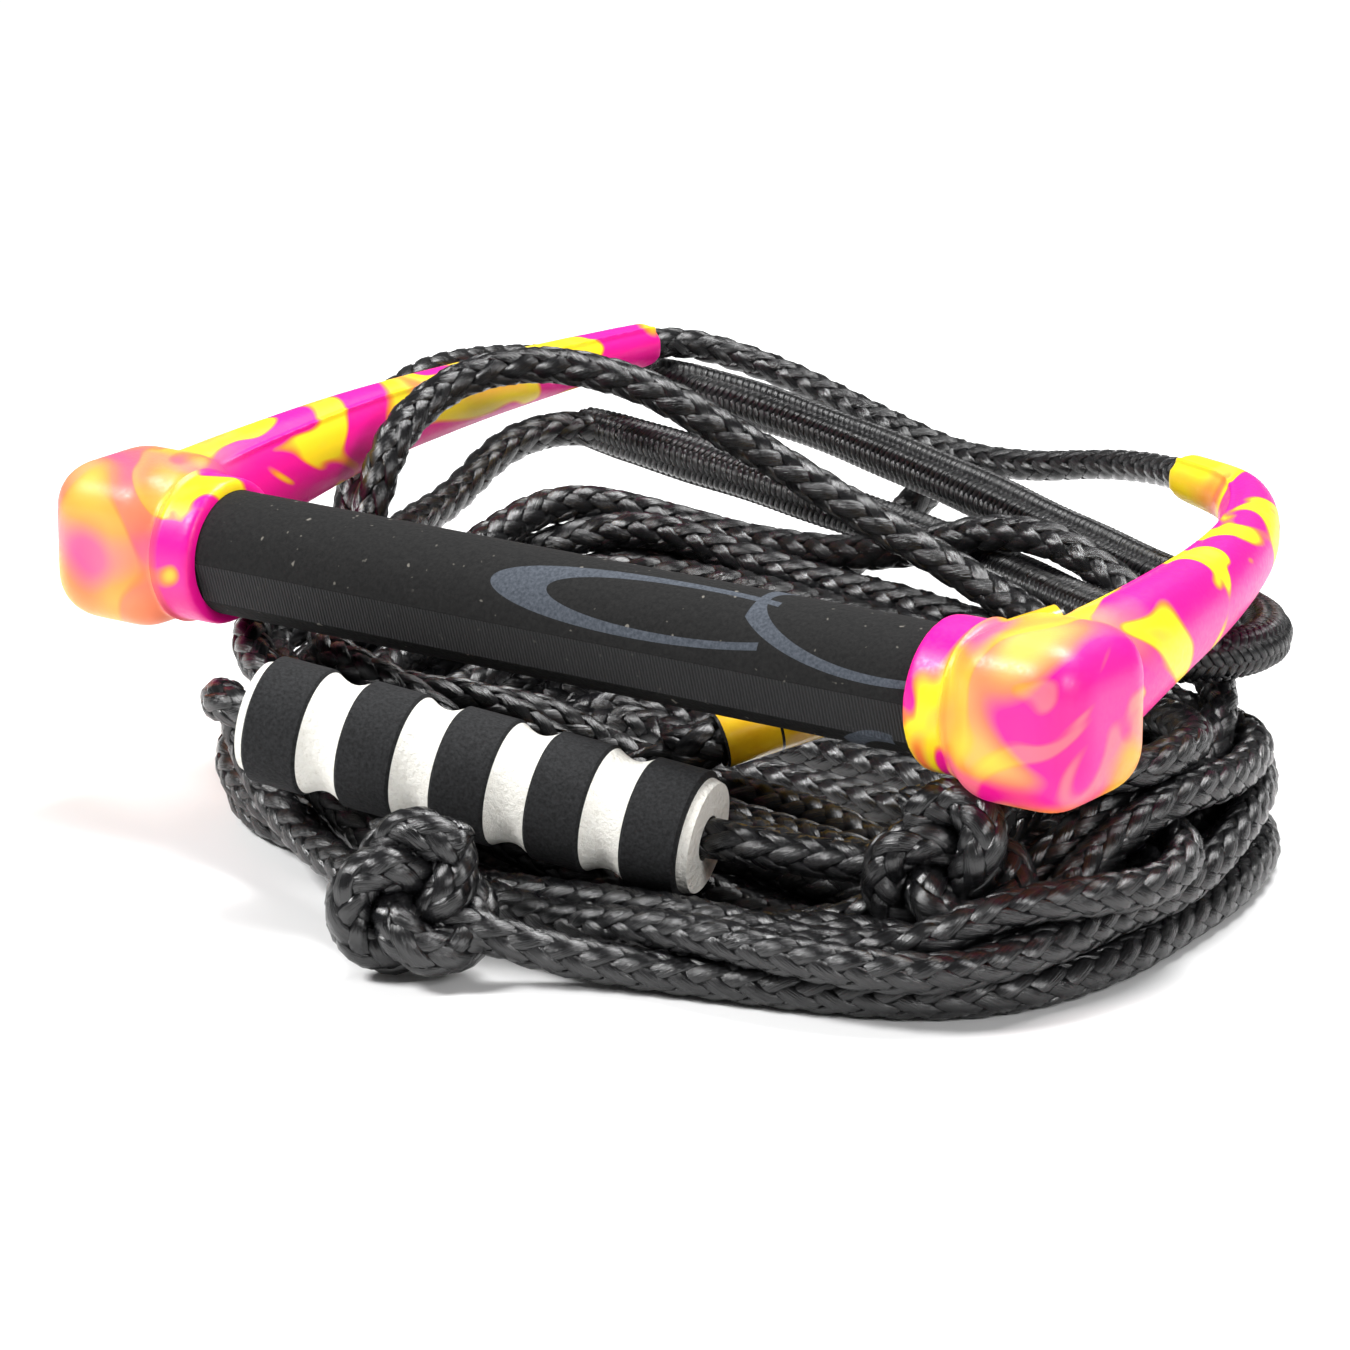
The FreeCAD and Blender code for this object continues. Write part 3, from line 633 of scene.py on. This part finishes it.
def grip_foam():
    """Grip foam: pores all round, fine ribs on the flat with painted light that lightens it, and pale inlaid
    curves.
    """
    made, tree, shader, where, color, height = foam("grip_foam", (.0034, .0034, .0036), (.0105, .0103, .0101),
                                                    (.16, .15, .13), 1100.0, .55)

    def do(operation, a, b=0.0, c=0.0):
        return calc(tree, operation, a, b, c)

    x, y, z = add(tree, "SeparateXYZ", {0: where}).outputs
    y, z = do("SUBTRACT", y, BAR.y), do("SUBTRACT", z, BAR.z)
    cos, sin = math.cos(FLAT_TURNED), math.sin(FLAT_TURNED)
    above = do("SUBTRACT", do("MULTIPLY", z, -cos), do("MULTIPLY", y, -sin))
    ahead = do("ADD", do("MULTIPLY", y, cos), do("MULTIPLY", z, sin))
    # up from the middle of the flat, along the skin
    around = do("MULTIPLY", do("ARCTAN2", above, ahead), GRIP_RADIUS)
    flat = do("LESS_THAN", do("ABSOLUTE", around), FLAT_HALF)
    ribs = do("MULTIPLY_ADD", do("SINE", do("MULTIPLY", x, 2 * math.pi / RIB)), .5, .5)
    ribbed = do("MULTIPLY", ribs, flat)
    # painted light: the flat faces the front lamp, so its colour is painted lighter as if lit, and its rib
    # lines paler still
    color = blend_color(tree, do("MULTIPLY", flat, .65), color, (.024, .024, .025))
    color = blend_color(tree, do("MULTIPLY", ribbed, .5), color, (.046, .046, .048))

    marks = inlay(tree, x, around, .0330, .0165, .0400, .0075, .03, .13, -.020, .058)
    for more in (inlay(tree, x, around, .0885, .0250, .0370, .0160, .0, .060, .052, .098),
                 inlay(tree, x, around, .0885, -.0135, .0100, .0085, .3, .20, .078, .092)):
        marks = do("MAXIMUM", marks, more)
    pale = ramp(tree, noise(tree, where, 1400.0, 2), (.3, (.036, .043, .055)), (.7, (.075, .086, .105)))
    color = blend_color(tree, marks, color, pale)
    tree.links.new(color, shader.inputs["Base Color"])
    under = bump(tree, do("ADD", height, do("MULTIPLY", marks, -.4)), .5, .0004)
    skin = bump(tree, do("MULTIPLY", ribbed, -1.0), .7, .0004, under)
    tree.links.new(skin, shader.inputs["Normal"])
    return made


LABEL_TOP = (.065, .102, .04596)


def label_film():
    """Glossy film with a thin dark line near each end and at its edges."""
    made, tree, shader = material("label_film", (.86, .50, .006), .22, Coat_Weight=.35, Coat_Roughness=.12)

    def do(operation, a, b=0.0):
        return calc(tree, operation, a, b)

    where = add(tree, "TexCoord").outputs["Object"]
    low_end = Vector(SPLICE[1]) + BELOW_BAR
    way = Vector(LABEL_TOP) + BELOW_BAR - low_end
    long, way = way.length, way.normalized()
    reached = add(tree, "VectorMath", {0: where, 1: tuple(way)}, operation="DOT_PRODUCT").outputs["Value"]
    along = do("SUBTRACT", reached, low_end.dot(way))
    dark = do("LESS_THAN", along, .0006)
    for place in (.0135, long - .0160):
        line = do("LESS_THAN", do("ABSOLUTE", do("SUBTRACT", along, place)), .00035)
        dark = do("MAXIMUM", dark, line)
    dark = do("MAXIMUM", dark, do("GREATER_THAN", along, long - .0006))
    worn = noise(tree, where, 240.0, 3)
    base = ramp(tree, worn, (.3, (.80, .43, .004)), (.7, (.90, .56, .010)))
    tree.links.new(blend_color(tree, dark, base, (.012, .011, .010)), shader.inputs["Base Color"])
    tree.links.new(bump(tree, worn, .15, .0006), shader.inputs["Normal"])
    return made


RING_FOAM = foam("ring_foam", (.0060, .0062, .0066), (.022, .0225, .024), None, 1300.0, .6)[0]
CORE_FOAM = core_foam()
GRIP = grip_foam()
LABEL = label_film()
METAL = material("bar_metal", (.55, .56, .58), .35, Metallic=1.0)[0]


def dress(piece, finish, slot=None):
    """Gives a piece its material and, where it is new, the body it rides on."""
    piece.data.materials.clear()
    piece.data.materials.append(finish)
    if slot:
        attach(piece, HANDLE)


for name, finish in (("grip_sleeve", GRIP), ("label_sleeve", LABEL), ("float_core", CORE_FOAM),
                     ("bar_tube", METAL), *(("float_ring_%d" % i, RING_FOAM) for i in range(1, 6))):
    dress(nodes[name], finish)


# ------------------------------------------------------------------ lay the ropes
# the length in which a strand goes once round
BRIDLE_BRAID, LINE_BRAID, SHEATH_BRAID, SPLICE_BRAID, KNOT_BRAID = .042, .049, .016, .055, .044
CORE_SHARE = .735                                  # the core's diameter over the line's


def lay(name, points, diameter, lead, finish, slot, far_end, lies, parts=1, stands_for=(), trim=0, knots=(),
        **look):
    """One length of rope: a round core with strands braided over it."""
    core = route_curve(name, points, diameter * CORE_SHARE)
    path = Path(followed(core))
    dress(core, ROPE_CORE, slot)
    first, last = trim, path.length - trim
    for part in range(parts):
        piece = braid("%s_strands_%d" % (name, part + 1), path, diameter, lead,
                      start=first + (last - first) * part / parts,
                      end=first + (last - first) * (part + 1) / parts, **look)
        dress(piece, finish, slot)
    if stands_for:
        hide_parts(*stands_for)
    print("%-14s %.3f m" % (name, path.length))


def knot(name, middle, along, flat, node, **size):
    """A stopper knot in the line: the core and the strands over it."""
    points = knotted(middle, along, flat, **size)
    core = route_curve(name, points, .0080)
    path = Path(followed(core), step=.0004)
    dress(core, ROPE_CORE, "rope_black")
    strands = braid(name + "_strands", path, .0112, KNOT_BRAID, per_cross=2.0)
    dress(strands, ROPE, "rope_black")
    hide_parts(node)
    return core, strands


knot_one = knot("first_knot", KNOT_ONE + Vector((0, 0, .0012)), (.80, .50, -.1), (.42, -.80, .42), "knot_one")
knot_two = knot("second_knot", KNOT_TWO + Vector((0, -.0045, .0005)), (.93, .30, .0), (.50, -.76, .40),
                "knot_two", ways=(1, -1))

lay("bridle", BRIDLE, BRIDLE_LINE, BRIDLE_BRAID, ROPE, "rope_black", "object", "hanging",
    stands_for=("bridle_rope",), slack=.03)
lay("bridle_lead", BRIDLE_LEAD, LINE, LINE_BRAID, ROPE, "rope_black", "object", "hanging")
lay("shock_section", SHOCK, SHOCK_LINE, SHEATH_BRAID, SHEATH, "shock_black", "object", "loose", parts=2,
    stands_for=("shock_sheath", "shock_core"), each_way=8, thick=.10, per_cross=1.5, slack=.05, neck=.78)
lay("shock_lead", SHOCK_LEAD, LINE, LINE_BRAID, ROPE, "rope_black", "object", "hanging")
lay("line_through_float", FLOAT_LINE, LINE, LINE_BRAID, ROPE, "rope_black", "knot", "loose",
    stands_for=("float_line",), trim=.012, knots=(*knot_one, *knot_two))
lay("upper_turns", UPPER_LINE, LINE, LINE_BRAID, ROPE, "rope_black", "object", "coiled", parts=3,
    stands_for=("top_loop",), slack=.03)
lay("lower_turns", LOWER_LINE, LINE, LINE_BRAID, ROPE, "rope_black", "object", "coiled", parts=2,
    stands_for=("line_coil",), slack=.03)
lay("spliced_end", SPLICE, SPLICE_LINE, SPLICE_BRAID, ROPE, "rope_black", "object", "loose",
    stands_for=("loop_splice",))
lay("end_loop", END_LOOP, LINE, LINE_BRAID, ROPE, "rope_black", "object", "loose")


# ------------------------------------------------------------------ end caps
def finish_with(piece, kind, **settings):
    """Adds a modifier and applies it."""
    bpy.context.view_layer.objects.active = piece
    step = piece.modifiers.new(kind.lower(), kind)
    for key, value in settings.items():
        setattr(step, key, value)
    bpy.ops.object.modifier_apply(modifier=step.name)


def alone(*pieces):
    """Selects these pieces and nothing else."""
    bpy.ops.object.select_all(action="DESELECT")
    for piece in pieces:
        piece.select_set(True)
    bpy.context.view_layer.objects.active = pieces[0]


# Each arm's way from its block to its tip, and its half width and half height there.
ARM_LEFT = [(-.1225, -.009, .0620), (-.122, .006, .0625), (-.1228, .035, .067), (-.123, .075, .0705),
            (-.122, .115, .0715), (-.121, .155, .071), (-.119, .195, .070)]
ARM_RIGHT = [(.1225, -.009, .0620), (.122, .006, .0627), (.1215, .040, .067), (.114, .084, .0685),
             (.101, .122, .0685), (.082, .152, .0685), (.061, .163, .069)]
ARM_SIZES = [(.0150, .0172), (.0140, .0168), (.0106, .0132), (.0088, .0102), (.0076, .0083),
             (.0066, .0069), (.00565, .00565)]
COLLAR_AT, COLLAR_RADIUS, COLLAR_WIDE = .1050, .0172, .016
BLOCK_AT, BLOCK_SIZE, BLOCK_END = .1232, (.0345, .0376, .0376), (1, .63, .67)
SOCKET_AT, SOCKET_RADIUS, SOCKET_DEEP = .0970, .01455, .0160
BORE_RADIUS, BORE_DEEP = .0043, .024
RIDGE_AT, RIDGE_HIGH, RIDGE_WIDE, SEAM_WIDE = .1078, .00078, .00062, .00060


def arm_spine(points, steps=90):
    """A smooth curve through the points, with the arm's half widths along it."""
    rows = np.hstack([np.array(points), np.array(ARM_SIZES)])
    rows = np.vstack([2 * rows[0] - rows[1], rows, 2 * rows[-1] - rows[-2]])
    spine = []
    for k in range(1, len(rows) - 2):
        for t in np.linspace(0, 1, steps // (len(rows) - 3), endpoint=k == len(rows) - 3):
            a, b, c, d = rows[k - 1:k + 3]
            square, cube = 2 * a - 5 * b + 4 * c - d, 3 * b - a - 3 * c + d
            spine.append(.5 * (2 * b + (c - a) * t + square * t * t + cube * t ** 3))
    spine = np.array(spine)
    way = np.gradient(spine[:, :3], axis=0)
    way /= np.linalg.norm(way, axis=1)[:, None]
    side = np.cross(way, (0, 0, 1.0))
    side /= np.linalg.norm(side, axis=1)[:, None]
    return spine, way, side, np.cross(side, way)


def across_bar(x, radius, long, sides):
    """A cylinder along the bar's line with its middle at x."""
    bpy.ops.object.select_all(action="DESELECT")
    bpy.ops.mesh.primitive_cylinder_add(vertices=sides, radius=radius, depth=long, location=(x, BAR.y, BAR.z),
                                        rotation=(0, math.pi / 2, 0))
    return bpy.context.object


def cap_collar(side):
    """The collar round the grip's end."""
    collar = across_bar(side * COLLAR_AT, COLLAR_RADIUS, COLLAR_WIDE, 64)
    finish_with(collar, "BEVEL", width=.0016, segments=3)
    return collar


def cap_block(side):
    """The block that holds the bar's end, tapered outwards with a raised end face."""
    bpy.ops.mesh.primitive_cube_add(size=1, location=(side * BLOCK_AT, BAR.y, BAR.z), scale=BLOCK_SIZE)
    block = bpy.context.object
    bpy.ops.object.transform_apply(location=True, rotation=True, scale=True)
    bpy.ops.object.mode_set(mode="EDIT")
    shape = bmesh.from_edit_mesh(block.data)
    for face in shape.faces:
        face.select_set(face.normal.x * side > .9)
    bmesh.update_edit_mesh(block.data)
    bpy.ops.transform.resize(value=BLOCK_END, center_override=(0, BAR.y, BAR.z))
    bpy.ops.mesh.inset(thickness=.0042)
    bpy.ops.transform.translate(value=(side * .0022, 0, 0))
    bpy.ops.object.mode_set(mode="OBJECT")
    finish_with(block, "BEVEL", width=.0110, segments=8, limit_method="ANGLE", angle_limit=math.radians(50))
    return block


def cap_arm(name, place, spine, out, rise):
    """The arm, lofted along its spine."""
    n, rows = 40, len(place)
    ring = np.linspace(0, 2 * math.pi, n, endpoint=False)
    skin = (place[:, None] + out[:, None] * (np.cos(ring)[None, :, None] * spine[:, 3][:, None, None])
            + rise[:, None] * (np.sin(ring)[None, :, None] * spine[:, 4][:, None, None]))
    faces = []
    for r in range(rows - 1):
        for c in range(n):
            after = (c + 1) % n
            faces.append((r * n + c, (r + 1) * n + c, (r + 1) * n + after, r * n + after))
    faces += [tuple(range(n)), tuple((rows - 1) * n + c for c in reversed(range(n)))]
    arm = mesh_object(name, skin.reshape(-1, 3), faces)
    alone(arm)
    bpy.ops.object.mode_set(mode="EDIT")
    bpy.ops.mesh.select_all(action="SELECT")
    bpy.ops.mesh.normals_make_consistent(inside=False)
    bpy.ops.object.mode_set(mode="OBJECT")
    return arm


def raise_ridges(cap, side, place, out, rise):
    """The mould's parting ridge, round the block and along the inner top of the arm."""
    count = len(cap.data.vertices)
    at, facing = np.empty(count * 3), np.empty(count * 3)
    cap.data.vertices.foreach_get("co", at)
    cap.data.vertex_normals.foreach_get("vector", facing)
    at, facing = at.reshape(-1, 3), facing.reshape(-1, 3)
    depth = at[:, 1] - BAR.y
    ridge = np.exp(-((at[:, 0] * side - RIDGE_AT) / RIDGE_WIDE) ** 2) * np.clip((.026 - depth) / .006, 0, 1)
    nearest = np.concatenate([((part[:, None] - place[None]) ** 2).sum(-1).argmin(1)
                              for part in np.array_split(at, 12)])
    off = at - place[nearest]
    sideways, above = (off * out[nearest]).sum(1), (off * rise[nearest]).sum(1)
    angle = np.arctan2(above, sideways * (-side))
    seam = (np.exp(-((angle - 1.0) * np.hypot(sideways, above) / SEAM_WIDE) ** 2)
            * np.clip((depth - .016) / .010, 0, 1))
    at += facing * (np.maximum(ridge, seam * .85) * RIDGE_HIGH)[:, None]
    cap.data.vertices.foreach_set("co", at.ravel())


def end_cap(name, node, side, points):
    """A cap and its arm in one moulding; side is -1 on the left and 1 on the right."""
    bpy.ops.object.select_all(action="DESELECT")
    collar = cap_collar(side)
    block = cap_block(side)
    spine, way, out, rise = arm_spine(points)
    place = spine[:, :3] + np.array(BELOW_BAR)
    cap = cap_arm(name, place, spine, out, rise)
    alone(cap, collar, block)
    bpy.ops.object.join()
    finish_with(cap, "REMESH", mode="VOXEL", voxel_size=.00095)
    finish_with(cap, "SMOOTH", factor=.5, iterations=7)
    finish_with(cap, "SUBSURF", levels=1, render_levels=1)
    raise_ridges(cap, side, place, out, rise)
    # socket for the grip and bore for the bridle
    socket = across_bar(side * SOCKET_AT, SOCKET_RADIUS, SOCKET_DEEP, 96)
    tip, course = Vector(place[-1]), Vector(way[-1])
    bpy.ops.object.select_all(action="DESELECT")
    bpy.ops.mesh.primitive_cylinder_add(vertices=48, radius=BORE_RADIUS, depth=BORE_DEEP, location=tip,
                                        rotation=course.to_track_quat("Z", "Y").to_euler())
    bore = bpy.context.object
    for tool in (socket, bore):
        finish_with(cap, "BOOLEAN", operation="DIFFERENCE", object=tool, solver="EXACT")
        bpy.data.objects.remove(tool)
    alone(cap)
    bpy.ops.object.shade_smooth_by_angle(angle=math.radians(50))
    dress(cap, marble(name + "_marble", side), "cap_marble")
    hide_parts(node)


end_cap("left_cap", "end_cap_left", -1, ARM_LEFT)
end_cap("right_cap", "end_cap_right", 1, ARM_RIGHT)


# ------------------------------------------------------------------ studio
def softbox(name, place, size, power):
    """A soft light that faces the object's middle."""
    light = bpy.data.objects.new(name, bpy.data.lights.new(name, "AREA"))
    light.data.shape = "RECTANGLE"
    light.data.size, light.data.size_y = size
    light.data.energy = power
    light.location = place
    facing = Vector((0, 0, .03)) - Vector(place)
    light.rotation_euler = facing.to_track_quat("-Z", "Y").to_euler()
    bpy.context.collection.objects.link(light)


softbox("key", (-.70, -.80, 1.10), (.45, .35), 24)
softbox("top", (.10, .55, 1.35), (.8, .6), 30)
softbox("side", (1.30, -.45, .80), (.40, .45), 11)

world = bpy.data.worlds.new("studio")
world.use_nodes = True
background = world.node_tree.nodes["Background"]
background.inputs["Color"].default_value = (1, 1, 1, 1)
background.inputs["Strength"].default_value = .20
bpy.context.scene.world = world
bpy.context.scene.view_settings.view_transform = "Standard"

bpy.ops.object.select_all(action="DESELECT")
bpy.ops.mesh.primitive_plane_add(size=12, location=(0, 2.5, 0))
floor = bpy.context.object
floor.name = "floor"
floor.data.materials.append(material("pale_floor", (.86, .86, .86), .75)[0])
